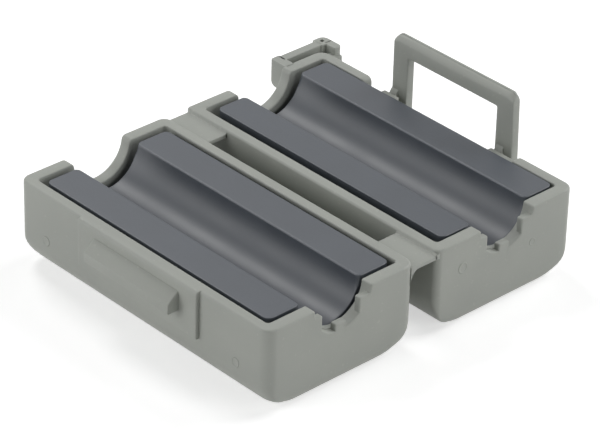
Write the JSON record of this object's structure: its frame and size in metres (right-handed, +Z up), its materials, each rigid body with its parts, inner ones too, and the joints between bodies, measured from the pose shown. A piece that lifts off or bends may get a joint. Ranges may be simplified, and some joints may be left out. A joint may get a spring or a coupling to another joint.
{
  "type": "clip-on ferrite bead",
  "caption": "Clip-on ferrite bead for a cable, shown open: two hinged plastic trays, each holding a grooved ferrite half, with a latch loop, a wedge catch and a tie eye.",
  "frame": {"origin": "middle of the open part's footprint, on the plane that both trays stand on", "axes": "+X along the cable from the smooth notches to the toothed ones, +Y from the catch tray to the loop tray, +Z up out of the channels"},
  "size_m": [0.041, 0.0476, 0.0167],
  "materials": {
    "case_plastic": "matte",
    "ferrite": "satin"
  },
  "bodies": {
    "catch_half": {"catch_tray": "case_plastic", "catch_core": "ferrite", "hinge_strap_far": "case_plastic", "hinge_strap_near": "case_plastic"},
    "loop_half": {"loop_tray": "case_plastic", "loop_core": "ferrite"},
    "latch": {"latch_loop": "case_plastic"}
  },
  "joints": [
    {"name": "fold", "type": "hinge", "parent": "catch_half", "child": "loop_half", "pos_m": [0.00105, -0.00022, 0.01027], "axis": [1, 0, 0], "range_deg": [0, 180], "deforming": ["hinge_strap_far", "hinge_strap_near"]},
    {"name": "latch_flex", "type": "hinge", "parent": "loop_half", "child": "latch", "pos_m": [0.00105, 0.02303, 0.0108], "axis": [-1, 0, 0], "range_deg": [0, 18], "stiffness_Nm_per_rad": 0.12}
  ]
}
